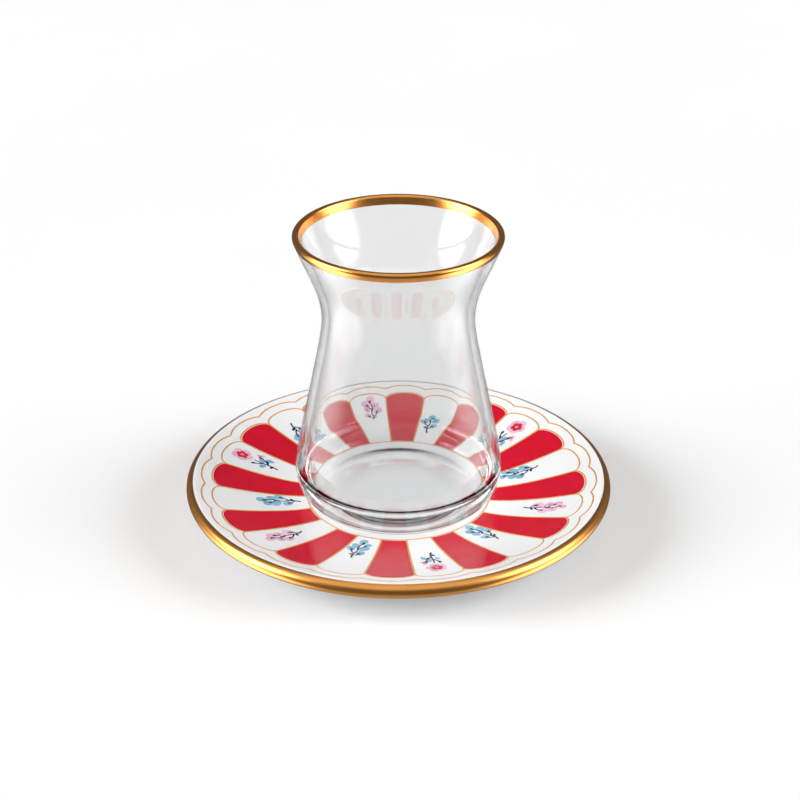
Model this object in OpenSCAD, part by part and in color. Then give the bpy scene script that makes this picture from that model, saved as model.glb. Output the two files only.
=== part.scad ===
// Waisted tea glass standing on its saucer.
// Millimetres, +Z up. The origin is the centre of the saucer's foot, on the table.
// Both pieces are turned shapes: each outline is drawn in the plane of radius and height
// and spun about +Z. The glass is clear and stands face to face on the saucer's flat well.

/* [Glass] */
// Height of the glass from its foot to the top of its lip
glass_h = 80.5; // [72:0.5:97]
// Outside diameter across the lip
rim_d = 57; // [50:0.5:68]
// Outside diameter at the waist
waist_d = 42; // [36:0.5:48]
// Height of the waist above the foot
waist_h = 55; // [45:0.5:60]
// Outside diameter at the widest part of the belly
belly_d = 58.4; // [52:0.5:70]
// Height of the widest part of the belly above the foot
belly_h = 9.5; // [8:0.5:12]
// Diameter of the flat foot
glass_foot_d = 43; // [36:0.5:48]
// Lean of the wall outwards at the lip, in degrees from upright
flare_angle = 18.5; // [10:0.5:24]
// Thickness of the wall at the lip and the waist
wall = 1.9; // [1.4:0.1:2.4]
// Thickness of the wall at the belly
belly_wall = 2.4; // [1.8:0.1:3]
// Thickness of the solid base at its centre
base_t = 3.8; // [3:0.1:6]
// Diameter of the flat floor inside
floor_d = 16; // [10:1:26]
// Height over which the floor turns up into the side
floor_turn = 7; // [5:0.5:9]
// Diameter of the shallow hollow under the foot
punt_d = 34; // [20:1:35]
// Depth of the shallow hollow under the foot
punt_h = 0.6; // [0.3:0.1:1.2]

/* [Saucer] */
// Diameter of the saucer
saucer_d = 120.5; // [100:0.5:145]
// Diameter of the flat well that the glass stands on
well_d = 50; // [46:1:56]
// Height from the well up to the inner edge of the lip
dish_h = 6.5; // [4.5:0.1:8]
// Slope of the dish where it meets the lip, in degrees
lip_angle = 17; // [14:0.5:22]
// Thickness of the rounded lip
lip_t = 4.2; // [3:0.1:5]
// Thickness of the saucer at its well
well_t = 3.6; // [2.8:0.1:4.6]
// Outside diameter of the foot ring, where it meets the underside
ring_d = 66; // [58:1:72]
// Width of the foot ring at its root
ring_w = 4.4; // [3:0.1:6]
// Height of the foot ring
ring_h = 3.5; // [2.5:0.1:4]
// Draft on each side of the foot ring
ring_draft = 0.8; // [0.3:0.1:1.2]

/* [Curves] */
// Height over which the belly leaves the upright, and the side reaches it again at the waist
side_ease = 7; // [3:0.5:12]
// Length over which the flare takes its lean
flare_ease = 10; // [5:0.5:12]
// Straight pieces in each drawn curve
curve_steps = 10; // [6:1:16]

/* [Hidden] */
$fn = 96;

rim_r = rim_d / 2;
waist_r = waist_d / 2;
belly_r = belly_d / 2;
glass_foot_r = glass_foot_d / 2;
floor_r = floor_d / 2;
lip_bead_r = wall / 2;
// Centre of the half round that closes the glass's lip
glass_lip = [rim_r - lip_bead_r, glass_h - lip_bead_r];

saucer_lip_r = lip_t / 2;
well_z = ring_h + well_t;
// Top of the dish, where it meets the lip
dish_top = well_z + dish_h;
// Centre of the round that closes the saucer's edge
saucer_lip = [saucer_d / 2 - saucer_lip_r, dish_top - saucer_lip_r * cos(lip_angle)];

// Point at an angle on a round or an ellipse
function on_round(centre, rx, rz, angle) = centre + [rx * cos(angle), rz * sin(angle)];

// Points along a round or an ellipse from one angle to another
function round_curve(centre, rx, rz, from, to) =
    [for (i = [0:curve_steps]) on_round(centre, rx, rz, from + (to - from) * i / curve_steps)];

// Points along a curve with one control point
function bend(a, b, c) =
    [for (i = [0:curve_steps]) let (t = i / curve_steps) pow(1 - t, 2) * a + 2 * t * (1 - t) * b + t * t * c];

// Points along a curve with two control points
function sweep(a, b, c, d) =
    [for (i = [0:curve_steps]) let (t = i / curve_steps)
        pow(1 - t, 3) * a + 3 * t * pow(1 - t, 2) * b + 3 * t * t * (1 - t) * c + pow(t, 3) * d];

// The same points from last to first
function reversed(points) = [for (i = [len(points) - 1:-1:0]) points[i]];

// The points without the first one, for a curve that starts where the last one ended
function tail(points) = [for (i = [1:len(points) - 1]) points[i]];

// Belly to waist, at a given radius for each
function side(belly, waist) =
    sweep(belly, belly + [0, side_ease], waist - [0, side_ease], waist);

// Waist to lip, ending with the wall's lean
function flare(waist, lip) =
    sweep(waist, waist + [0, flare_ease], lip - flare_ease * [sin(flare_angle), cos(flare_angle)], lip);

// Outside of the glass, from the foot up
function glass_outside() = concat(
    round_curve([glass_foot_r, belly_h], belly_r - glass_foot_r, belly_h, -90, 0),
    tail(side([belly_r, belly_h], [waist_r, waist_h])),
    tail(flare([waist_r, waist_h], on_round(glass_lip, lip_bead_r, lip_bead_r, -flare_angle))));

// Inside of the glass, from the floor up
function glass_inside() =
    let (turn_z = base_t + floor_turn, in_r = belly_r - belly_wall)
    concat(
        round_curve([floor_r, turn_z], in_r - floor_r, floor_turn, -90, 0),
        tail(side([in_r, turn_z], [waist_r - wall, waist_h])),
        tail(flare([waist_r - wall, waist_h], on_round(glass_lip, lip_bead_r, lip_bead_r, 180 - flare_angle))));

function glass_outline() = concat(
    [[0, punt_h]],
    // the hollow under the foot fades out to its edge
    tail(bend([0, punt_h], [punt_d / 4, punt_h], [punt_d / 2, 0])),
    glass_outside(),
    tail(round_curve(glass_lip, lip_bead_r, lip_bead_r, -flare_angle, 180 - flare_angle)),
    tail(reversed(glass_inside())),
    [[0, base_t]]);

function saucer_outline() =
    let (
        under = on_round(saucer_lip, saucer_lip_r, saucer_lip_r, lip_angle - 90),
        over = on_round(saucer_lip, saucer_lip_r, saucer_lip_r, lip_angle + 90),
        knee = [under[0] - (under[1] - ring_h) / tan(lip_angle), ring_h],
        rise = [over[0] - (over[1] - well_z) / tan(lip_angle), well_z],
        ring_r = ring_d / 2)
    concat(
        [[0, ring_h], [ring_r - ring_w, ring_h]],
        [[ring_r - ring_w + ring_draft, 0], [ring_r - ring_draft, 0]],
        bend([ring_r, ring_h], knee, under),
        tail(round_curve(saucer_lip, saucer_lip_r, saucer_lip_r, lip_angle - 90, lip_angle + 90)),
        tail(bend(over, rise, [well_d / 2, well_z])),
        [[0, well_z]]);

// The dish, its rounded lip and its foot ring
module saucer() {
    color("white")
        rotate_extrude()
            polygon(saucer_outline());
}

// The glass, standing on the saucer's well
module glass() {
    color("lightcyan", 0.35)
        translate([0, 0, well_z])
            rotate_extrude()
                polygon(glass_outline());
}

saucer();
glass();
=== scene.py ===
"""Waisted tea glass on its gilded saucer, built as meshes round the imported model.

Metres, +Z up. The origin is the centre of the saucer's foot, on the table.
"""

import math
import random

import bmesh
import bpy
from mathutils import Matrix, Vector


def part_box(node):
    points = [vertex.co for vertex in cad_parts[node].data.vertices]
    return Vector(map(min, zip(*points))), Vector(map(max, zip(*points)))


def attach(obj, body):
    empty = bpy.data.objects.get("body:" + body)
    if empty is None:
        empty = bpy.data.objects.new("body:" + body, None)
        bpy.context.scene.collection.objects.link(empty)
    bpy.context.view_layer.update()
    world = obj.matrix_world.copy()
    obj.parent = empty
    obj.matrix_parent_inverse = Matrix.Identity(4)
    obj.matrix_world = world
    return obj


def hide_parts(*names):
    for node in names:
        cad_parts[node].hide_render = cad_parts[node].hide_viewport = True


bl_info = {
    "name": "Waisted Tea Glass",
    "version": (1, 0, 0),
    "blender": (4, 5, 0),
    "location": "3D View > Sidebar > Tea Glass",
    "description": "Builds a waisted tea glass with a gilded lip on a painted saucer",
    "category": "Add Mesh",
}

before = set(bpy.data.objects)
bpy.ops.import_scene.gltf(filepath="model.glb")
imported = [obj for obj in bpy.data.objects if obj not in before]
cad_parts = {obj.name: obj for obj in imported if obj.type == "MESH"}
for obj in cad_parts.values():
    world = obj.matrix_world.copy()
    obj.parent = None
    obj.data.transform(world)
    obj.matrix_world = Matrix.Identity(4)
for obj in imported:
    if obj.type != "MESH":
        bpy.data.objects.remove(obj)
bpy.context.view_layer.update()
SAUCER_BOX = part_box("saucer")
GLASS_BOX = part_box("glass")
MM = 0.001

GLASS_FOOT = GLASS_BOX[0].z
GLASS_TOP = GLASS_BOX[1].z
BELLY_RADIUS = (GLASS_BOX[1].x - GLASS_BOX[0].x) / 2

# Sides of the turned shapes, and the angle above which an edge stays sharp
SAUCER_SIDES = 288
GLASS_SIDES = 240
SHARP_ANGLE = math.radians(40)

# Height of the gold film over the glaze and the glass
FILM = 0.03 * MM

# Fullness of the petals' ends, where 2 is an ellipse, and of the scallops, where 2 is a parabola
PETAL_POWER = 2.1
SCALLOP_POWER = 2.4

# Sideways step of the camera from the saucer's centre
CAMERA_SHIFT = 0.44 * MM


class SaucerSettings(bpy.types.PropertyGroup):
    """Sizes of the saucer."""

    well_radius: bpy.props.FloatProperty(
        name="Well radius",
        description="Radius of the flat well that the glass stands on",
        default=25 * MM,
        subtype="DISTANCE",
    )
    lip_thickness: bpy.props.FloatProperty(
        name="Lip thickness",
        description="Thickness of the rounded lip",
        default=4.2 * MM,
        subtype="DISTANCE",
    )
    lip_slope: bpy.props.FloatProperty(
        name="Lip slope",
        description="Slope of the dish where it meets the lip",
        default=math.radians(17),
        subtype="ANGLE",
    )
    ring_radius: bpy.props.FloatProperty(
        name="Foot ring radius",
        description="Outside radius of the foot ring where it meets the underside",
        default=33 * MM,
        subtype="DISTANCE",
    )
    ring_width: bpy.props.FloatProperty(
        name="Foot ring width",
        description="Width of the foot ring at its root",
        default=4.4 * MM,
        subtype="DISTANCE",
    )
    ring_height: bpy.props.FloatProperty(
        name="Foot ring height",
        description="Height of the foot ring",
        default=3.5 * MM,
        subtype="DISTANCE",
    )
    ring_draft: bpy.props.FloatProperty(
        name="Foot ring draft",
        description="Draft on each side of the foot ring",
        default=0.8 * MM,
        subtype="DISTANCE",
    )
    gilding_start: bpy.props.FloatProperty(
        name="Gilding start",
        description="Radius at which the gold begins on top of the saucer",
        default=58.3 * MM,
        subtype="DISTANCE",
    )
    glaze_colour: bpy.props.FloatVectorProperty(
        name="Glaze",
        description="Colour of the white glaze",
        default=(0.80, 0.80, 0.81),
        subtype="COLOR",
        min=0,
        max=1,
    )


class GlassSettings(bpy.types.PropertyGroup):
    """Sizes of the glass."""

    waist_radius: bpy.props.FloatProperty(
        name="Waist radius",
        description="Outside radius at the waist",
        default=21 * MM,
        subtype="DISTANCE",
    )
    waist_height: bpy.props.FloatProperty(
        name="Waist height",
        description="Height of the waist above the glass's foot",
        default=55 * MM,
        subtype="DISTANCE",
    )
    rim_radius: bpy.props.FloatProperty(
        name="Rim radius",
        description="Outside radius across the lip",
        default=28.5 * MM,
        subtype="DISTANCE",
    )
    belly_height: bpy.props.FloatProperty(
        name="Belly height",
        description="Height of the widest part of the belly above the glass's foot",
        default=9.5 * MM,
        subtype="DISTANCE",
    )
    foot_radius: bpy.props.FloatProperty(
        name="Foot radius",
        description="Radius of the flat foot",
        default=21.5 * MM,
        subtype="DISTANCE",
    )
    flare_angle: bpy.props.FloatProperty(
        name="Flare angle",
        description="Lean of the wall outwards at the lip",
        default=math.radians(18.5),
        subtype="ANGLE",
    )
    wall: bpy.props.FloatProperty(
        name="Wall",
        description="Thickness of the wall at the lip and the waist",
        default=1.9 * MM,
        subtype="DISTANCE",
    )
    belly_wall: bpy.props.FloatProperty(
        name="Belly wall",
        description="Thickness of the wall at the belly",
        default=2.4 * MM,
        subtype="DISTANCE",
    )
    base_thickness: bpy.props.FloatProperty(
        name="Base",
        description="Thickness of the solid base at its centre",
        default=3.8 * MM,
        subtype="DISTANCE",
    )
    floor_radius: bpy.props.FloatProperty(
        name="Floor radius",
        description="Radius of the flat floor inside",
        default=8 * MM,
        subtype="DISTANCE",
    )
    floor_turn: bpy.props.FloatProperty(
        name="Floor turn",
        description="Height over which the floor turns up into the side",
        default=7 * MM,
        subtype="DISTANCE",
    )
    gilding_outside: bpy.props.FloatProperty(
        name="Gilding outside",
        description="Depth of the gold below the lip on the outside",
        default=2.6 * MM,
        subtype="DISTANCE",
    )
    gilding_inside: bpy.props.FloatProperty(
        name="Gilding inside",
        description="Depth of the gold below the lip on the inside",
        default=2.5 * MM,
        subtype="DISTANCE",
    )
    gold_colour: bpy.props.FloatVectorProperty(
        name="Gold",
        description="Colour of the gilding on the glass and the saucer",
        default=(0.87, 0.385, 0.095),
        subtype="COLOR",
        min=0,
        max=1,
    )


class PatternSettings(bpy.types.PropertyGroup):
    """Sizes and colours of the painted pattern on the saucer."""

    petals: bpy.props.IntProperty(
        name="Petals",
        description="Number of petals round the dish, red and white in turn",
        default=24,
        min=8,
        max=40,
    )
    first_red: bpy.props.FloatProperty(
        name="First red petal",
        description="Direction of the middle of the first red petal",
        default=math.radians(267.44),
        subtype="ANGLE",
    )
    inner_radius: bpy.props.FloatProperty(
        name="Inner ring",
        description="Radius of the gold ring at the petals' inner ends",
        default=26.1 * MM,
        subtype="DISTANCE",
    )
    corner_radius: bpy.props.FloatProperty(
        name="Petal corner",
        description="Radius at which neighbouring petals part",
        default=50.5 * MM,
        subtype="DISTANCE",
    )
    tip_radius: bpy.props.FloatProperty(
        name="Petal tip",
        description="Radius of the petals' outer ends",
        default=53.35 * MM,
        subtype="DISTANCE",
    )
    scallop_inner: bpy.props.FloatProperty(
        name="Scallop cusps",
        description="Radius of the scalloped line at its cusps",
        default=54.9 * MM,
        subtype="DISTANCE",
    )
    scallop_outer: bpy.props.FloatProperty(
        name="Scallop bulges",
        description="Radius of the scalloped line at its bulges",
        default=56.3 * MM,
        subtype="DISTANCE",
    )
    line_width: bpy.props.FloatProperty(
        name="Line width",
        description="Width of the gold lines",
        default=0.58 * MM,
        subtype="DISTANCE",
    )
    relief: bpy.props.FloatProperty(
        name="Relief",
        description="Height of the enamel and the gold lines above the glaze",
        default=0.07 * MM,
        subtype="DISTANCE",
    )
    red_colour: bpy.props.FloatVectorProperty(
        name="Red",
        description="Colour of the red enamel",
        default=(0.55, 0.006, 0.024),
        subtype="COLOR",
        min=0,
        max=1,
    )
    line_colour: bpy.props.FloatVectorProperty(
        name="Lines",
        description="Colour of the thin gold lines",
        default=(0.70, 0.33, 0.06),
        subtype="COLOR",
        min=0,
        max=1,
    )
    twig_colour: bpy.props.FloatVectorProperty(
        name="Twigs",
        description="Colour of the sprigs' twigs",
        default=(0.02, 0.03, 0.06),
        subtype="COLOR",
        min=0,
        max=1,
    )
    blue_colour: bpy.props.FloatVectorProperty(
        name="Blue",
        description="Colour of the blue leaves and blossoms",
        default=(0.20, 0.42, 0.56),
        subtype="COLOR",
        min=0,
        max=1,
    )
    pink_colour: bpy.props.FloatVectorProperty(
        name="Pink",
        description="Colour of the pink blossoms",
        default=(0.74, 0.44, 0.57),
        subtype="COLOR",
        min=0,
        max=1,
    )
    crimson_colour: bpy.props.FloatVectorProperty(
        name="Crimson",
        description="Colour of the hearts of the blossoms",
        default=(0.58, 0.02, 0.05),
        subtype="COLOR",
        min=0,
        max=1,
    )


class StageSettings(bpy.types.PropertyGroup):
    """Floor, light and camera."""

    floor_size: bpy.props.FloatProperty(
        name="Floor size",
        description="Width of the floor",
        default=6.0,
        subtype="DISTANCE",
    )
    camera_distance: bpy.props.FloatProperty(
        name="Camera distance",
        description="Distance from the camera to the middle of its view",
        default=0.535,
        subtype="DISTANCE",
    )
    camera_elevation: bpy.props.FloatProperty(
        name="Camera elevation",
        description="Angle of the camera's view below the level",
        default=math.radians(27.5),
        subtype="ANGLE",
    )
    aim_height: bpy.props.FloatProperty(
        name="Aim height",
        description="Height of the point that the camera looks at",
        default=36.9 * MM,
        subtype="DISTANCE",
    )
    camera_lens: bpy.props.FloatProperty(
        name="Lens",
        description="Focal length for a 36 mm sensor, in millimetres",
        default=86.1,
        min=20,
        max=200,
    )
    sky_strength: bpy.props.FloatProperty(
        name="Room light",
        description="Strength of all the light panels of the room",
        default=0.89,
        min=0,
        max=10,
    )
    backdrop_share: bpy.props.FloatProperty(
        name="Backdrop share",
        description="How much of the pale backdrop shows through the glass",
        default=0.85,
        min=0,
        max=1,
    )
    room_dimness: bpy.props.FloatProperty(
        name="Room between the panels",
        description="Brightness of the room where there is no light panel",
        default=0.15,
        min=0,
        max=2,
    )


def polar(radius, angle):
    """Place in plan at a radius and a direction from the upright axis."""
    return (radius * math.cos(angle), radius * math.sin(angle))


def on_round(centre, radius_r, radius_z, angle):
    """Point at an angle on a round or an ellipse."""
    return (centre[0] + radius_r * math.cos(angle), centre[1] + radius_z * math.sin(angle))


def round_curve(centre, radius_r, radius_z, start, end, steps):
    """Points along a round or an ellipse from one angle to another."""
    return [
        on_round(centre, radius_r, radius_z, start + (end - start) * i / steps)
        for i in range(steps + 1)
    ]


def sweep(points, steps):
    """Points along a curve drawn by two end points and the control points between them."""
    degree = len(points) - 1
    curve = []
    for i in range(steps + 1):
        t = i / steps
        weights = [
            math.comb(degree, k) * (1 - t) ** (degree - k) * t**k for k in range(degree + 1)
        ]
        curve.append(tuple(sum(w * p[axis] for w, p in zip(weights, points)) for axis in (0, 1)))
    return curve


class Dish:
    """Shape of the saucer's top and the places on it."""

    def __init__(self, settings):
        low, high = SAUCER_BOX
        self.radius = (high.x - low.x) / 2
        self.well_radius = settings.well_radius
        self.well_z = GLASS_FOOT
        self.lip_radius = settings.lip_thickness / 2
        self.slope = settings.lip_slope
        self.lip_centre = (self.radius - self.lip_radius, high.z - self.lip_radius)
        # Where the lip meets the top and the underside, and the control point of the slope
        self.lip_top = self.on_lip(self.slope + math.pi / 2)
        self.lip_under = self.on_lip(self.slope - math.pi / 2)
        run = (self.lip_top[1] - self.well_z) / math.tan(self.slope)
        self.bend = (self.lip_top[0] - run, self.well_z)

    def on_lip(self, angle, lift=0.0):
        """Point of the rounded lip's section, at an angle from level."""
        radius = self.lip_radius + lift
        return on_round(self.lip_centre, radius, radius, angle)

    def height(self, radius):
        """Height of the top at a radius."""
        if radius <= self.well_radius:
            return self.well_z
        if radius >= self.lip_top[0]:
            reach = radius - self.lip_centre[0]
            return self.lip_centre[1] + math.sqrt(max(self.lip_radius**2 - reach**2, 0.0))
        # The slope is a curve with one control point, so its share t solves a square equation
        square = self.well_radius - 2 * self.bend[0] + self.lip_top[0]
        linear = 2 * (self.bend[0] - self.well_radius)
        constant = self.well_radius - radius
        t = (math.sqrt(linear**2 - 4 * square * constant) - linear) / (2 * square)
        return self.well_z + t * t * (self.lip_top[1] - self.well_z)

    def point(self, radius, angle, lift=0.0):
        """Point over the dish at a radius and a direction."""
        return Vector((*polar(radius, angle), self.height(radius) + lift))

    def over_point(self, x, y, lift=0.0):
        """Point over the dish at a place in plan."""
        return Vector((x, y, self.height(math.hypot(x, y)) + lift))


def finish_mesh(bm, name, finish, body="root"):
    """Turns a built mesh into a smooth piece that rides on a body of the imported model."""
    bmesh.ops.recalc_face_normals(bm, faces=bm.faces)
    mesh = bpy.data.meshes.new(name)
    bm.to_mesh(mesh)
    bm.free()
    mesh.polygons.foreach_set("use_smooth", [True] * len(mesh.polygons))
    mesh.set_sharp_from_angle(angle=SHARP_ANGLE)
    mesh.materials.append(finish)
    piece = bpy.data.objects.new(name, mesh)
    bpy.context.scene.collection.objects.link(piece)
    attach(piece, body)
    return piece


def bridge(bm, rows, closed=False):
    """Skins rows of points that run round, from row to row. A row can be a single point."""
    pairs = list(zip(rows, rows[1:]))
    if closed:
        pairs.append((rows[-1], rows[0]))
    for first, second in pairs:
        count = max(len(first), len(second))
        for i in range(count):
            j = (i + 1) % count
            corners = [first[i % len(first)], first[j % len(first)]]
            corners += [second[j % len(second)], second[i % len(second)]]
            corners = list(dict.fromkeys(corners))
            if len(corners) > 2:
                bm.faces.new(corners)


def turn_outline(outline, sides, closed=False):
    """Mesh of an outline of (radius, height) points spun about the upright axis."""
    bm = bmesh.new()
    angles = [2 * math.pi * i / sides for i in range(sides)]
    rings = []
    for radius, height in outline:
        if radius < 1e-7:
            rings.append([bm.verts.new((0, 0, height))])
            continue
        rings.append([bm.verts.new((*polar(radius, angle), height)) for angle in angles])
    bridge(bm, rings, closed)
    return bm


def add_strip(bm, dish, path, width, height, closed=False):
    """Low rounded strip of paint that follows a path of (x, y) points over the dish."""
    # Across and up, as shares of the width and the height
    section = [(-0.5, -0.35), (-0.34, 0.7), (0, 1), (0.34, 0.7), (0.5, -0.35), (0, -0.6)]
    count = len(path)
    rows = []
    for i, (x, y) in enumerate(path):
        before = path[(i - 1) % count] if closed or i else path[i]
        after = path[(i + 1) % count] if closed or i < count - 1 else path[i]
        along = Vector((after[0] - before[0], after[1] - before[1]))
        along.normalize()
        local = width[i] if isinstance(width, list) else width
        row = []
        for side, lift in section:
            reach = side * local
            place = dish.over_point(x - along.y * reach, y + along.x * reach, lift * height)
            row.append(bm.verts.new(place))
        rows.append(row)
    bridge(bm, rows, closed)
    if not closed:
        bm.faces.new(rows[0])
        bm.faces.new(list(reversed(rows[-1])))


def add_dab(bm, dish, centre, outline, height):
    """Small crowned dab of paint: an outline of (x, y) points about a centre, over the dish."""
    # Size and height of each layer, as shares
    layers = [(0.99, -0.4), (1.0, 0.1), (0.9, 0.75), (0.55, 1.0)]
    middle_x, middle_y = centre
    rings = []
    for share, lift in layers:
        ring = []
        for x, y in outline:
            ring_x = middle_x + share * (x - middle_x)
            ring_y = middle_y + share * (y - middle_y)
            ring.append(bm.verts.new(dish.over_point(ring_x, ring_y, lift * height)))
        rings.append(ring)
    crown = bm.verts.new(dish.over_point(middle_x, middle_y, 1.05 * height))
    bridge(bm, rings + [[crown]])
    bm.faces.new(list(reversed(rings[0])))


def petal_end(across, pattern, inset=0.0):
    """Radius of a petal's rounded outer end, for a share across it from -1 to 1."""
    corner = pattern.corner_radius - inset * 0.6
    rise = pattern.tip_radius - inset - corner
    return corner + rise * (1 - abs(across) ** PETAL_POWER) ** (1 / PETAL_POWER)


def line_round(start, end, radius_at, steps):
    """Points (x, y) along a line round the axis, whose radius is given for each share of it."""
    shares = [i / steps for i in range(steps + 1)]
    return [polar(radius_at(share), start + (end - start) * share) for share in shares]


def add_petal(bm, dish, pattern, centre, inset, height):
    """Sheet of enamel that fills one petal and follows the dish."""
    half = math.pi / pattern.petals
    inner = pattern.inner_radius + inset
    columns = 20
    rows = 34
    top = []
    bottom = []
    for i in range(columns + 1):
        across = -math.cos(math.pi * i / columns)
        end = petal_end(across, pattern, inset)
        top_row = []
        bottom_row = []
        for j in range(rows + 1):
            radius = inner + (end - inner) * j / rows
            angle = centre + across * (half - inset / radius)
            edge = i in (0, columns) or j in (0, rows)
            lift = -0.2 * height if edge else height
            top_row.append(bm.verts.new(dish.point(radius, angle, lift)))
            if edge:
                bottom_row.append(top_row[-1])
            else:
                bottom_row.append(bm.verts.new(dish.point(radius, angle, -0.6 * height)))
        top.append(top_row)
        bottom.append(bottom_row)
    for i in range(columns):
        for j in range(rows):
            bm.faces.new((top[i][j], top[i + 1][j], top[i + 1][j + 1], top[i][j + 1]))
            under = (bottom[i][j], bottom[i][j + 1], bottom[i + 1][j + 1], bottom[i + 1][j])
            if bm.faces.get(under) is None:
                bm.faces.new(under)


class NodeTree:
    """Shader nodes of a material or a world under construction."""

    def __init__(self, tree):
        self.nodes = tree.nodes
        self.links = tree.links

    def feed(self, socket, value):
        """Gives a socket a plain value, or links it to another node's output."""
        if isinstance(value, bpy.types.NodeSocket):
            self.links.new(value, socket)
        else:
            socket.default_value = value

    def add(self, kind, inputs=None, **settings):
        """New node with its settings, and with what goes into its named or numbered inputs."""
        node = self.nodes.new(f"ShaderNode{kind}")
        for name, value in settings.items():
            setattr(node, name, value)
        for socket, value in (inputs or {}).items():
            self.feed(node.inputs[socket], value)
        return node

    def reckon(self, operation, first, second):
        """Result of an operation on two values."""
        return self.add("Math", {0: first, 1: second}, operation=operation).outputs["Value"]

    def mix(self, share, first, second):
        """Shader between two shaders, chosen by a value."""
        return self.add("MixShader", {0: share, 1: first, 2: second}).outputs["Shader"]


class Finish(NodeTree):
    """Material under construction, with its surface shader."""

    def __init__(self, name):
        self.material = bpy.data.materials.new(name)
        self.material.use_nodes = True
        super().__init__(self.material.node_tree)
        self.shader = self.nodes["Principled BSDF"]
        self.place = self.add("TexCoord").outputs["Object"]

    def set(self, **values):
        """Sets sockets of the shader by name, with _ for a space."""
        for name, value in values.items():
            self.shader.inputs[name.replace("_", " ")].default_value = value

    def connect(self, source, socket):
        """Links a value or colour to a socket of the shader."""
        self.feed(self.shader.inputs[socket], source)

    def noise(self, scale, detail=3.0, roughness=0.5, place=None):
        """Noise over the piece, in the frame's own coordinates or at a place of its own."""
        inputs = {"Scale": scale, "Detail": detail, "Roughness": roughness}
        inputs["Vector"] = self.place if place is None else place
        return self.add("TexNoise", inputs).outputs["Fac"]

    def brush_marks(self, fineness, stretch):
        """Noise drawn out round the upright axis, as a brush on a turning wheel leaves."""
        parts = self.add("SeparateXYZ", {"Vector": self.place}).outputs
        flat = self.add("CombineXYZ", {"X": parts["X"], "Y": parts["Y"]}).outputs["Vector"]
        turn = self.reckon("ARCTAN2", parts["Y"], parts["X"])
        rolled = {
            "X": self.reckon("MULTIPLY", turn, stretch),
            "Y": self.add("VectorMath", {0: flat}, operation="LENGTH").outputs["Value"],
            "Z": parts["Z"],
        }
        return self.noise(fineness, place=self.add("CombineXYZ", rolled).outputs["Vector"])

    def spread(self, source, low, high):
        """Spreads the usual span of a noise over a range."""
        inputs = {"Value": source, "From Min": 0.3, "From Max": 0.7, "To Min": low, "To Max": high}
        return self.add("MapRange", inputs).outputs["Result"]

    def blend(self, source, first, second):
        """Colour between two colours, chosen by a value."""
        inputs = {"Factor": source, "A": (*first, 1), "B": (*second, 1)}
        return self.add("Mix", inputs, data_type="RGBA").outputs["Result"]

    def bump(self, source, strength, distance):
        """Raises and lowers the surface by a value."""
        inputs = {"Height": source, "Strength": strength, "Distance": distance}
        self.connect(self.add("Bump", inputs).outputs["Normal"], "Normal")


def shaded(colour, share):
    """The same colour, lighter or darker."""
    return tuple(min(channel * share, 1) for channel in colour)


def glaze_finish(colour):
    """White glaze: glossy, with faint clouds of tone and a slight ripple."""
    finish = Finish("white_glaze")
    clouds = finish.spread(finish.noise(38, 2), 0, 1)
    finish.connect(finish.blend(clouds, shaded(colour, 0.985), shaded(colour, 1.01)), "Base Color")
    finish.connect(finish.spread(finish.noise(160, 4), 0.06, 0.12), "Roughness")
    finish.set(Specular_IOR_Level=0.35, IOR=1.52)
    finish.bump(finish.noise(90, 2), 0.06, 0.0006)
    return finish.material


def enamel_finish(name, colour, variation):
    """Fired enamel: a glossy colour that is a little deeper in places."""
    finish = Finish(name)
    clouds = finish.spread(finish.noise(220, 4), 0, 1)
    deep = shaded(colour, 1 - variation)
    light = shaded(colour, 1 + variation)
    finish.connect(finish.blend(clouds, deep, light), "Base Color")
    finish.connect(finish.spread(finish.noise(500, 3), 0.096, 0.156), "Roughness")
    finish.set(Specular_IOR_Level=0.22, IOR=1.52)
    finish.bump(finish.noise(260, 3), 0.08, 0.0003)
    return finish.material


def gold_finish(name, colour, gloss):
    """Fired gold: soft bright metal with faint brush marks."""
    finish = Finish(name)
    marks = finish.brush_marks(2600, 0.004)
    clouds = finish.spread(finish.noise(120), 0, 1)
    finish.connect(finish.blend(clouds, shaded(colour, 0.95), shaded(colour, 1.04)), "Base Color")
    finish.connect(finish.spread(marks, gloss * 0.93, gloss * 1.08), "Roughness")
    finish.set(Metallic=1.0)
    finish.bump(marks, 0.015, 0.0001)
    return finish.material


def line_finish(colour):
    """Thin drawn gold: a warm, faintly metallic paint that is paler in places."""
    finish = Finish("line_gold")
    clouds = finish.spread(finish.noise(700, 4, 0.6), 0, 1)
    finish.connect(finish.blend(clouds, shaded(colour, 0.85), shaded(colour, 1.1)), "Base Color")
    finish.connect(finish.spread(finish.noise(900, 3), 0.25, 0.4), "Roughness")
    finish.set(Metallic=0.15)
    finish.bump(finish.noise(900, 2), 0.1, 0.0002)
    return finish.material


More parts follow.
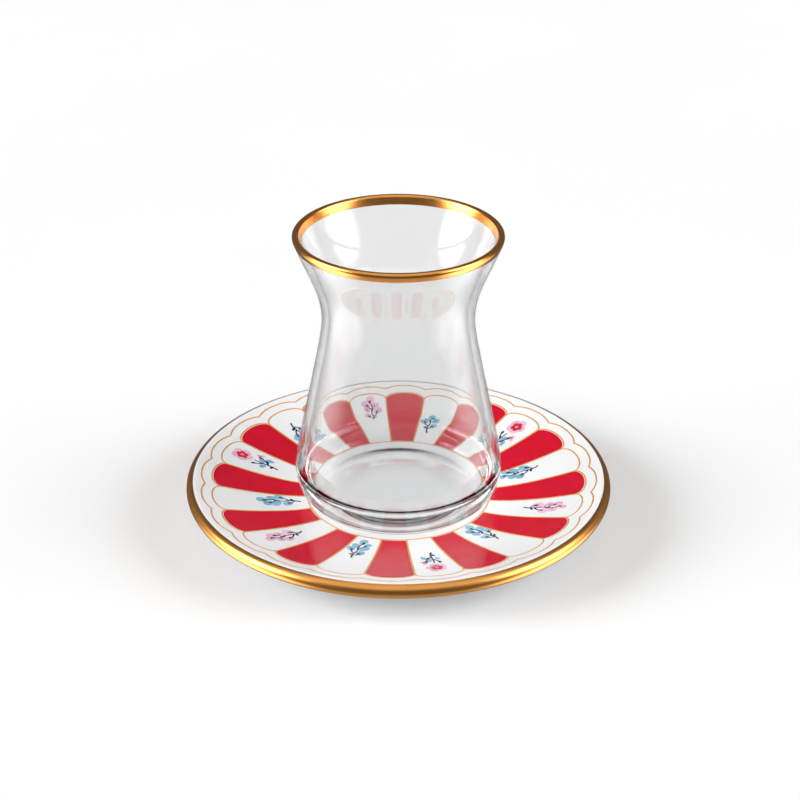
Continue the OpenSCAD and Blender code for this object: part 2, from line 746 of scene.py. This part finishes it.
def glass_finish():
    """Clear pressed glass that lets the light of the room reach what stands behind it.

    Light that has wandered far inside the glass is replaced by a painted glow: the glass itself
    glows pale, standing in for the pale room.
    """
    finish = Finish("clear_glass")
    tint = finish.spread(finish.noise(30, 1), 0, 1)
    finish.connect(finish.blend(tint, (0.855, 0.86, 0.86), (0.865, 0.87, 0.87)), "Base Color")
    finish.set(Transmission_Weight=1.0, IOR=1.5, Roughness=0.0)
    finish.bump(finish.noise(45, 1), 0.03, 0.0008)
    # Towards its outline the glass turns partly see-through
    facing = finish.add("LayerWeight").outputs["Facing"]
    edge = finish.add("MapRange", {"Value": facing, "From Min": 0.7, "To Max": 0.7})
    ray = finish.add("LightPath").outputs
    clear = finish.reckon("MAXIMUM", ray["Is Shadow Ray"], edge.outputs["Result"])
    open_air = finish.add("BsdfTransparent", {"Color": (0.985, 0.985, 0.985, 1)})
    surface = finish.mix(clear, finish.shader.outputs["BSDF"], open_air.outputs["BSDF"])
    # Painted glow: past eight bounces the glass glows a pale light in place of the light it would
    # carry from the room
    most_bounces = 8
    pale = finish.add("Emission", {"Color": (0.88, 0.89, 0.89, 1)})
    deep = finish.reckon("GREATER_THAN", ray["Ray Depth"], most_bounces + 0.5)
    surface = finish.mix(deep, surface, pale.outputs["Emission"])
    finish.feed(finish.nodes["Material Output"].inputs["Surface"], surface)
    return finish.material


def film_lift(step, steps):
    """Height of the gold film at a step of its way: sunk at both ends, full between them."""
    feather = min(step, steps - step, 2) / 2
    return FILM * (feather * 1.2 - 0.2)


class SaucerBody(bpy.types.Operator):
    """Turns the glazed dish with its rounded lip and foot ring"""

    bl_idname = "tea_glass.saucer_body"
    bl_label = "Saucer"

    def execute(self, context):
        settings = context.scene.tea_saucer
        dish = Dish(settings)
        underside = settings.ring_height
        under_slope = (dish.lip_under[1] - underside) / math.tan(dish.slope)
        knee = (dish.lip_under[0] - under_slope, underside)
        root = settings.ring_radius
        inner_root = root - settings.ring_width
        foot_in = inner_root + settings.ring_draft
        foot_out = root - settings.ring_draft
        outline = [(0, underside), (inner_root * 0.5, underside), (inner_root, underside)]
        outline += [(foot_in, 0.0), (foot_out, 0.0)]
        outline += sweep([(root, underside), knee, dish.lip_under], 30)
        outline += round_curve(
            dish.lip_centre,
            dish.lip_radius,
            dish.lip_radius,
            dish.slope - math.pi / 2,
            dish.slope + math.pi / 2,
            24,
        )[1:]
        outline += sweep([dish.lip_top, dish.bend, (dish.well_radius, dish.well_z)], 60)[1:]
        outline += [(dish.well_radius * 0.5, dish.well_z), (0, dish.well_z)]
        bm = turn_outline(outline, SAUCER_SIDES)
        piece = finish_mesh(bm, "saucer_dish", glaze_finish(settings.glaze_colour))
        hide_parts("saucer")
        return {"FINISHED"}


class SaucerGilding(bpy.types.Operator):
    """Lays the gold over the saucer's lip"""

    bl_idname = "tea_glass.saucer_gilding"
    bl_label = "Saucer gilding"

    def execute(self, context):
        dish = Dish(context.scene.tea_saucer)
        start = context.scene.tea_saucer.gilding_start
        start_angle = math.acos((start - dish.lip_centre[0]) / dish.lip_radius)
        end_angle = dish.slope - math.pi / 2 + 0.2
        steps = 30
        over = []
        under = []
        for i in range(steps + 1):
            angle = start_angle + (end_angle - start_angle) * i / steps
            over.append(dish.on_lip(angle, film_lift(i, steps)))
            under.append(dish.on_lip(angle, -FILM))
        bm = turn_outline(over + under[::-1], SAUCER_SIDES, closed=True)
        finish = gold_finish("satin_gold", context.scene.tea_vessel.gold_colour, 0.3)
        finish_mesh(bm, "saucer_gilding", finish)
        return {"FINISHED"}


class RedPetals(bpy.types.Operator):
    """Fills every second petal with red enamel"""

    bl_idname = "tea_glass.red_petals"
    bl_label = "Red petals"

    def execute(self, context):
        dish = Dish(context.scene.tea_saucer)
        pattern = context.scene.tea_pattern
        inset = pattern.line_width * 0.4
        bm = bmesh.new()
        for i in range(pattern.petals // 2):
            centre = pattern.first_red + 4 * math.pi * i / pattern.petals
            add_petal(bm, dish, pattern, centre, inset, pattern.relief * 0.7)
        finish = enamel_finish("red_enamel", pattern.red_colour, 0.06)
        finish_mesh(bm, "red_petals", finish)
        return {"FINISHED"}


class GoldLines(bpy.types.Operator):
    """Draws the gold lines round the petals and the scalloped line outside them"""

    bl_idname = "tea_glass.gold_lines"
    bl_label = "Gold lines"

    def execute(self, context):
        dish = Dish(context.scene.tea_saucer)
        pattern = context.scene.tea_pattern
        half = math.pi / pattern.petals
        width = pattern.line_width
        thin = width * 0.9
        start = pattern.inner_radius - width * 0.3
        length = pattern.corner_radius - start
        side_steps = 30
        cap_steps = 40
        finish = line_finish(pattern.line_colour)
        bm = bmesh.new()
        for i in range(pattern.petals):
            centre = pattern.first_red + 2 * half * i
            radii = [start + length * k / side_steps for k in range(side_steps + 1)]
            side = [polar(radius, centre + half) for radius in radii]
            add_strip(bm, dish, side, width, pattern.relief)
            cap = []
            for k in range(cap_steps + 1):
                across = -math.cos(math.pi * k / cap_steps)
                radius = petal_end(across, pattern)
                cap.append(polar(radius, centre + across * (half - 0.1 * width / radius)))
            add_strip(bm, dish, cap, thin, pattern.relief)
        ring = line_round(0, 2 * math.pi, lambda share: pattern.inner_radius, 240)[:-1]
        add_strip(bm, dish, ring, thin, pattern.relief, closed=True)
        finish_mesh(bm, "petal_lines", finish)

        def scallop_radius(share):
            across = 2 * (share * pattern.petals % 1) - 1
            reach = pattern.scallop_outer - pattern.scallop_inner
            return pattern.scallop_inner + reach * (1 - abs(across) ** SCALLOP_POWER)

        begin = pattern.first_red - half
        scallop = line_round(begin, begin + 2 * math.pi, scallop_radius, pattern.petals * 24)
        bm = bmesh.new()
        add_strip(bm, dish, scallop[:-1], thin, pattern.relief, closed=True)
        finish_mesh(bm, "scallop_line", finish)
        return {"FINISHED"}


class Sprig:
    """One painted sprig on a white petal, with its own middle and direction outwards."""

    def __init__(self, dish, meshes, radius, angle, outwards, height, seed):
        self.dish = dish
        self.meshes = meshes
        self.radius = radius
        self.angle = angle
        self.outwards = outwards
        self.height = height
        self.chance = random.Random(seed)
        self.flip = self.chance.choice((-1, 1))
        self.stretch = 1.1

    def place(self, out, across):
        """Place in plan of a point of the sprig, in millimetres outwards and across."""
        radius = self.radius + self.outwards * out * self.stretch * MM
        return polar(radius, self.angle + self.flip * across * MM / radius)

    def twig(self, points, width):
        """Tapering twig along a bent line."""
        steps = 10
        path = [self.place(*point) for point in sweep(points, steps)]
        widths = [width * 1.5 * MM * (1 - 0.45 * i / steps) for i in range(steps + 1)]
        add_strip(self.meshes["twigs"], self.dish, path, widths, 1.7 * self.height)

    def oval(self, paint, out, across, length, width, turn, lift=1.0):
        """Dab of paint, oval with one blunt end."""
        steps = 16
        outline = []
        for i in range(steps):
            angle = 2 * math.pi * i / steps
            along = 0.5 * length * math.cos(angle)
            side = 0.5 * width * math.sin(angle) * (1 + 0.25 * math.cos(angle))
            point_out = out + along * math.cos(turn) - side * math.sin(turn)
            point_across = across + along * math.sin(turn) + side * math.cos(turn)
            outline.append(self.place(point_out, point_across))
        middle = self.place(out, across)
        add_dab(self.meshes[paint], self.dish, middle, outline, lift * self.height)

    def blossom(self, paint, out, across, size, lift=1.0):
        """Ring of ovals round a middle."""
        petals = 5
        start = self.chance.uniform(0, 2 * math.pi)
        reach = 0.5 * size
        for i in range(petals):
            turn = start + 2 * math.pi * i / petals
            self.oval(
                paint,
                out + reach * math.cos(turn),
                across + reach * math.sin(turn),
                size * self.chance.uniform(0.95, 1.1),
                size * self.chance.uniform(0.85, 0.95),
                turn,
                lift * self.chance.uniform(0.95, 1.05),
            )

    def leaves(self, paint, places, length, width, lift=1.0):
        """Leaves or petals at places, each with its own turn."""
        for out, across, turn in places:
            share = self.chance.uniform(0.85, 1.15)
            turn += self.chance.uniform(-0.25, 0.25)
            self.oval(paint, out, across, length * share, width * share, turn, lift)

    def spray(self, paint):
        """Spray of broad petals on a forked twig, with bare buds at its thin end."""
        self.stretch = 0.95
        self.twig([(-6.0, -0.5), (-3.5, 1.0), (-1.0, -0.8), (1.0, 0.1)], 0.42)
        self.twig([(0.2, -0.3), (2.0, 1.0), (4.8, -0.2)], 0.5)
        self.twig([(-2.6, 0.1), (-1.6, 1.4), (-0.2, 1.6)], 0.42)
        self.twig([(1.4, 0.3), (1.9, -0.9), (3.1, -1.3)], 0.42)
        self.twig([(-4.2, 0.1), (-3.6, -0.9), (-2.6, -1.2)], 0.36)
        buds = (
            (-0.2, 1.6, 0.3), (3.1, -1.3, -0.4), (-2.6, -1.2, -0.3), (4.8, -0.2, 0),
            (-3.4, 0.6, 1.1),
        )
        self.leaves("twigs", buds, 1.5, 0.8, 1.7)
        petals = (
            (0.3, 1.9, 0.5), (1.4, -1.5, -0.4), (2.7, 1.3, 0.2), (3.8, -1.6, -0.3),
            (5.6, 0.1, 0.1), (-2.0, -1.5, -0.2),
        )
        size = 1.15 if paint == "pink" else 1.05
        self.leaves(paint, petals, 3.1 * size, 2.2 * size)
        if paint == "pink":
            hearts = ((1.5, -1.5, -0.5), (2.8, 1.2, 0.1), (5.4, 0.1, 0.3), (-2.1, -1.5, 0.2))
            self.leaves("crimson", hearts, 1.3, 0.5, 1.4)

    def flower(self):
        """Open flower at the outer end of a forked twig with leaves and a bud."""
        self.twig([(-6.2, 1.2), (-3.6, 0.1), (-1.4, 1.0), (0.8, 0.4)], 0.45)
        self.twig([(-3.4, 0.6), (-2.2, -1.0), (-0.6, -1.5)], 0.42)
        self.twig([(-1.8, 0.6), (-0.9, 1.7), (0.3, 2.0)], 0.42)
        buds = ((-4.5, 1.2, 0.9), (-2.6, -0.6, -0.8), (0.4, 2.0, 0.4), (-0.5, -1.5, -0.2))
        self.leaves("twigs", buds, 1.6, 0.85, 1.7)
        self.leaves("blue", ((-3.0, -1.6, 0.3), (-1.2, -0.4, -0.6), (-2.2, 1.9, 0.8)), 2.2, 1.4)
        self.leaves("pink", ((0.3, -2.2, 0.2), (-0.4, -2.6, 1.1)), 1.9, 1.3)
        self.oval("crimson", 0.1, -2.3, 1.3, 0.55, 0.5, 1.4)
        self.blossom("pink", 4.2, 0.2, 2.9)
        self.blossom("crimson", 4.2, 0.2, 1.8, 1.4)
        self.oval("pink", 4.2, 0.2, 1.1, 1.1, 0, 1.75)
        self.oval("twigs", 4.25, 0.25, 0.6, 0.6, 0, 2.1)


# Sprig on each white petal, counting on round from the first red petal:
# kind, radius of its middle, place across the petal, and 1 if its blossoms point outwards
SPRIGS = (
    ("flower", 42.0, 0.0, 1),
    ("blue", 33.5, 1.4, -1),
    ("pink", 42.5, 0.2, 1),
    ("blue", 36.5, 1.6, -1),
    ("flower", 43.4, -0.3, 1),
    ("blue", 37.0, 1.2, 1),
    ("pink", 45.0, -0.8, 1),
    ("blue", 42.0, 0.8, -1),
    ("flower", 43.6, -0.9, 1),
    ("blue", 34.0, -1.2, 1),
    ("pink", 41.0, -0.6, 1),
    ("blue", 34.5, -0.8, -1),
)


class Sprigs(bpy.types.Operator):
    """Paints one sprig on each white petal"""

    bl_idname = "tea_glass.sprigs"
    bl_label = "Sprigs"

    def execute(self, context):
        dish = Dish(context.scene.tea_saucer)
        pattern = context.scene.tea_pattern
        colours = {
            "twigs": pattern.twig_colour,
            "blue": pattern.blue_colour,
            "pink": pattern.pink_colour,
            "crimson": pattern.crimson_colour,
        }
        meshes = {name: bmesh.new() for name in colours}
        step = 2 * math.pi / pattern.petals
        for i in range(pattern.petals // 2):
            kind, middle, across, outwards = SPRIGS[i % len(SPRIGS)]
            radius = middle * MM
            angle = pattern.first_red + step * (2 * i + 1) + across * MM / radius
            sprig = Sprig(dish, meshes, radius, angle, outwards, pattern.relief * 0.6, 40 + i)
            if kind == "flower":
                sprig.flower()
            else:
                sprig.spray(kind)
        for name, bm in meshes.items():
            finish = enamel_finish(f"{name}_enamel", colours[name], 0.16)
            finish_mesh(bm, f"sprig_{name}", finish)
        return {"FINISHED"}


class GlassBody(bpy.types.Operator):
    """Turns the clear glass with its thick base, belly, waist and flared mouth"""

    bl_idname = "tea_glass.glass_body"
    bl_label = "Glass"

    def execute(self, context):
        bm = turn_outline(glass_outline(context.scene.tea_vessel), GLASS_SIDES)
        piece = finish_mesh(bm, "glass_body", glass_finish())
        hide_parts("glass")
        return {"FINISHED"}


def glass_lip(vessel):
    """Centre and radius of the half round that closes the glass's lip."""
    radius = vessel.wall / 2
    return (vessel.rim_radius - radius, GLASS_TOP - radius), radius


def lip_round(vessel, steps):
    """Half round over the lip, from its outside to its inside."""
    centre, bead = glass_lip(vessel)
    angle = vessel.flare_angle
    return round_curve(centre, bead, bead, -angle, math.pi - angle, steps)


def glass_side(vessel, offset, belly, turn_height, steps):
    """Wall from the belly through the waist to the lip, at an offset in from the outside."""
    centre, bead = glass_lip(vessel)
    waist = (vessel.waist_radius - offset, GLASS_FOOT + vessel.waist_height)
    low = (belly, GLASS_FOOT + turn_height)
    ease = 7 * MM
    flare = 10 * MM
    angle = vessel.flare_angle
    lip_angle = -angle if offset == 0 else math.pi - angle
    lip = on_round(centre, bead, bead, lip_angle)
    side = sweep([low, (low[0], low[1] + ease), (waist[0], waist[1] - ease), waist], steps)
    lean = (lip[0] - flare * math.sin(angle), lip[1] - flare * math.cos(angle))
    mouth = sweep([waist, (waist[0], waist[1] + flare), lean, lip], steps)
    return side + mouth[1:]


def outer_side(vessel, steps):
    """Outside of the glass from its belly to its lip."""
    return glass_side(vessel, 0, BELLY_RADIUS, vessel.belly_height, steps)


def inner_side(vessel, steps):
    """Inside of the glass from its belly to its lip."""
    turn = vessel.base_thickness + vessel.floor_turn
    return glass_side(vessel, vessel.wall, BELLY_RADIUS - vessel.belly_wall, turn, steps)


def glass_outline(vessel):
    """Outline of the glass from the middle of its foot round to the middle of its floor."""
    hollow = GLASS_FOOT + 0.6 * MM
    hollow_radius = 17 * MM
    floor = GLASS_FOOT + vessel.base_thickness
    outline = sweep([(0, hollow), (hollow_radius / 2, hollow), (hollow_radius, GLASS_FOOT)], 12)
    outline += round_curve(
        (vessel.foot_radius, GLASS_FOOT + vessel.belly_height),
        BELLY_RADIUS - vessel.foot_radius,
        vessel.belly_height,
        -math.pi / 2,
        0,
        24,
    )
    outline += outer_side(vessel, 36)[1:]
    outline += lip_round(vessel, 16)[1:]
    inside = round_curve(
        (vessel.floor_radius, floor + vessel.floor_turn),
        BELLY_RADIUS - vessel.belly_wall - vessel.floor_radius,
        vessel.floor_turn,
        -math.pi / 2,
        0,
        24,
    )
    inside += inner_side(vessel, 36)[1:]
    outline += inside[::-1][1:]
    outline += [(vessel.floor_radius * 0.5, floor), (0, floor)]
    # A hair of air keeps the foot's surface apart from the well's
    lowest = GLASS_FOOT + 0.05 * MM
    return [(radius, max(height, lowest)) for radius, height in outline]


class GlassGilding(bpy.types.Operator):
    """Lays the gold over the glass's lip, inside and out"""

    bl_idname = "tea_glass.glass_gilding"
    bl_label = "Glass gilding"

    def execute(self, context):
        vessel = context.scene.tea_vessel
        outside = [p for p in outer_side(vessel, 90) if p[1] > GLASS_TOP - vessel.gilding_outside]
        inside = [p for p in inner_side(vessel, 90) if p[1] > GLASS_TOP - vessel.gilding_inside]
        path = outside + lip_round(vessel, 20)[1:] + inside[::-1][1:]
        last = len(path) - 1
        over = []
        under = []
        for i, (radius, height) in enumerate(path):
            before = path[max(i - 1, 0)]
            after = path[min(i + 1, last)]
            along = Vector((after[0] - before[0], after[1] - before[1])).normalized()
            lift = film_lift(i, last)
            over.append((radius + along.y * lift, height - along.x * lift))
            under.append((radius - along.y * FILM, height + along.x * FILM))
        bm = turn_outline(over + under[::-1], GLASS_SIDES, closed=True)
        finish = gold_finish("bright_gold", vessel.gold_colour, 0.24)
        finish_mesh(bm, "lip_gilding", finish)
        return {"FINISHED"}


# Soft panels of the room: name, direction, full within, gone beyond (degrees), strength
PANELS = (
    ("ceiling", (0.0, -0.3, 1.0), 24, 50, 0.8),
    ("back strip", (0.0, 1.0, 0.05), 6, 20, 0.06),
    ("left box", (-0.92, -0.15, 0.37), 3, 26, 13.0),
    ("right box", (0.90, -0.17, 0.42), 4, 28, 8.0),
    ("low left", (-0.78, 0.0, -0.5), 4, 34, 4.5),
    ("low right", (0.78, 0.0, -0.5), 4, 34, 4.0),
    ("table", (0.0, -0.1, -1.0), 30, 58, 0.42),
)
# Pale room that the glass shows towards the back: name, direction, full within, gone beyond
BACKDROP = ("backdrop", (0.0, 1.0, 0.4), 22, 50)
WHITE = (1, 1, 1, 1)


def soft_panel(tree, place, name, direction, full, gone, strength):
    """Light round a direction: full within one angle from it and gone beyond another."""
    inputs = {0: place, 1: Vector(direction).normalized()}
    facing = tree.add("VectorMath", inputs, operation="DOT_PRODUCT", label=name)
    inputs = {
        "Value": facing.outputs["Value"],
        "From Min": math.cos(math.radians(gone)),
        "From Max": math.cos(math.radians(full)),
        "To Max": strength,
    }
    return tree.add("MapRange", inputs, interpolation_type="SMOOTHSTEP").outputs["Result"]


def room_light(stage):
    """World of soft light panels in a dim room, with an even pale room for the camera.

    What is seen through the glass towards the back is the pale room too.
    """
    world = bpy.data.worlds.new("room")
    world.use_nodes = True
    tree = NodeTree(world.node_tree)
    place = tree.add("TexCoord").outputs["Generated"]
    total = stage.room_dimness
    for panel in PANELS:
        total = tree.reckon("ADD", soft_panel(tree, place, *panel), total)
    panels = tree.nodes["Background"]
    tree.feed(panels.inputs["Color"], WHITE)
    tree.feed(panels.inputs["Strength"], tree.reckon("MULTIPLY", total, stage.sky_strength))
    pale = tree.add("Background", {"Color": WHITE})
    ray = tree.add("LightPath").outputs
    backdrop = soft_panel(tree, place, *BACKDROP, stage.backdrop_share)
    through = tree.reckon("MULTIPLY", ray["Is Transmission Ray"], backdrop)
    seen = tree.reckon("MAXIMUM", ray["Is Camera Ray"], through)
    room = tree.mix(seen, panels.outputs["Background"], pale.outputs["Background"])
    tree.feed(tree.nodes["World Output"].inputs["Surface"], room)
    return world


class Stage(bpy.types.Operator):
    """Sets the floor, the light and the camera"""

    bl_idname = "tea_glass.stage"
    bl_label = "Stage"

    def execute(self, context):
        stage = context.scene.tea_stage
        half = stage.floor_size / 2
        mesh = bpy.data.meshes.new("floor")
        corners = [(-half, -half, 0), (half, -half, 0), (half, half, 0), (-half, half, 0)]
        mesh.from_pydata(corners, [], [(0, 1, 2, 3)])
        floor = bpy.data.objects.new("floor", mesh)
        finish = Finish("pale_floor")
        tone = finish.spread(finish.noise(6, 2), 0, 1)
        finish.connect(finish.blend(tone, (0.85, 0.85, 0.85), (0.87, 0.87, 0.87)), "Base Color")
        finish.set(Roughness=0.9, Specular_IOR_Level=0.1)
        mesh.materials.append(finish.material)
        context.scene.collection.objects.link(floor)
        floor.visible_glossy = False
        context.scene.world = room_light(stage)
        camera_data = bpy.data.cameras.new("camera")
        camera_data.lens = stage.camera_lens
        camera_data.sensor_width = 36
        camera = bpy.data.objects.new("camera", camera_data)
        camera.location = (
            CAMERA_SHIFT,
            -stage.camera_distance * math.cos(stage.camera_elevation),
            stage.aim_height + stage.camera_distance * math.sin(stage.camera_elevation),
        )
        camera.rotation_euler = (math.pi / 2 - stage.camera_elevation, 0, 0)
        context.scene.collection.objects.link(camera)
        context.scene.camera = camera
        context.scene.view_settings.view_transform = "Standard"
        return {"FINISHED"}


BUILD_ORDER = (
    SaucerBody,
    SaucerGilding,
    RedPetals,
    GoldLines,
    Sprigs,
    GlassBody,
    GlassGilding,
    Stage,
)


class TeaGlassPanel(bpy.types.Panel):
    """Lists the pieces of the tea glass and its saucer"""

    bl_idname = "VIEW3D_PT_tea_glass"
    bl_label = "Tea Glass"
    bl_space_type = "VIEW_3D"
    bl_region_type = "UI"
    bl_category = "Tea Glass"

    def draw(self, context):
        for operator in BUILD_ORDER:
            self.layout.operator(operator.bl_idname)


SETTINGS = {
    "tea_saucer": SaucerSettings,
    "tea_vessel": GlassSettings,
    "tea_pattern": PatternSettings,
    "tea_stage": StageSettings,
}


def register():
    """Registers the settings, the operators and the panel."""
    for name, group in SETTINGS.items():
        bpy.utils.register_class(group)
        setattr(bpy.types.Scene, name, bpy.props.PointerProperty(type=group))
    for operator in BUILD_ORDER:
        bpy.utils.register_class(operator)
    bpy.utils.register_class(TeaGlassPanel)


def unregister():
    """Removes what register added."""
    bpy.utils.unregister_class(TeaGlassPanel)
    for operator in reversed(BUILD_ORDER):
        bpy.utils.unregister_class(operator)
    for name, group in SETTINGS.items():
        delattr(bpy.types.Scene, name)
        bpy.utils.unregister_class(group)


def main():
    """Builds every piece and the stage."""
    register()
    for operator in BUILD_ORDER:
        group, name = operator.bl_idname.split(".")
        getattr(getattr(bpy.ops, group), name)()


if __name__ == "__main__":
    main()
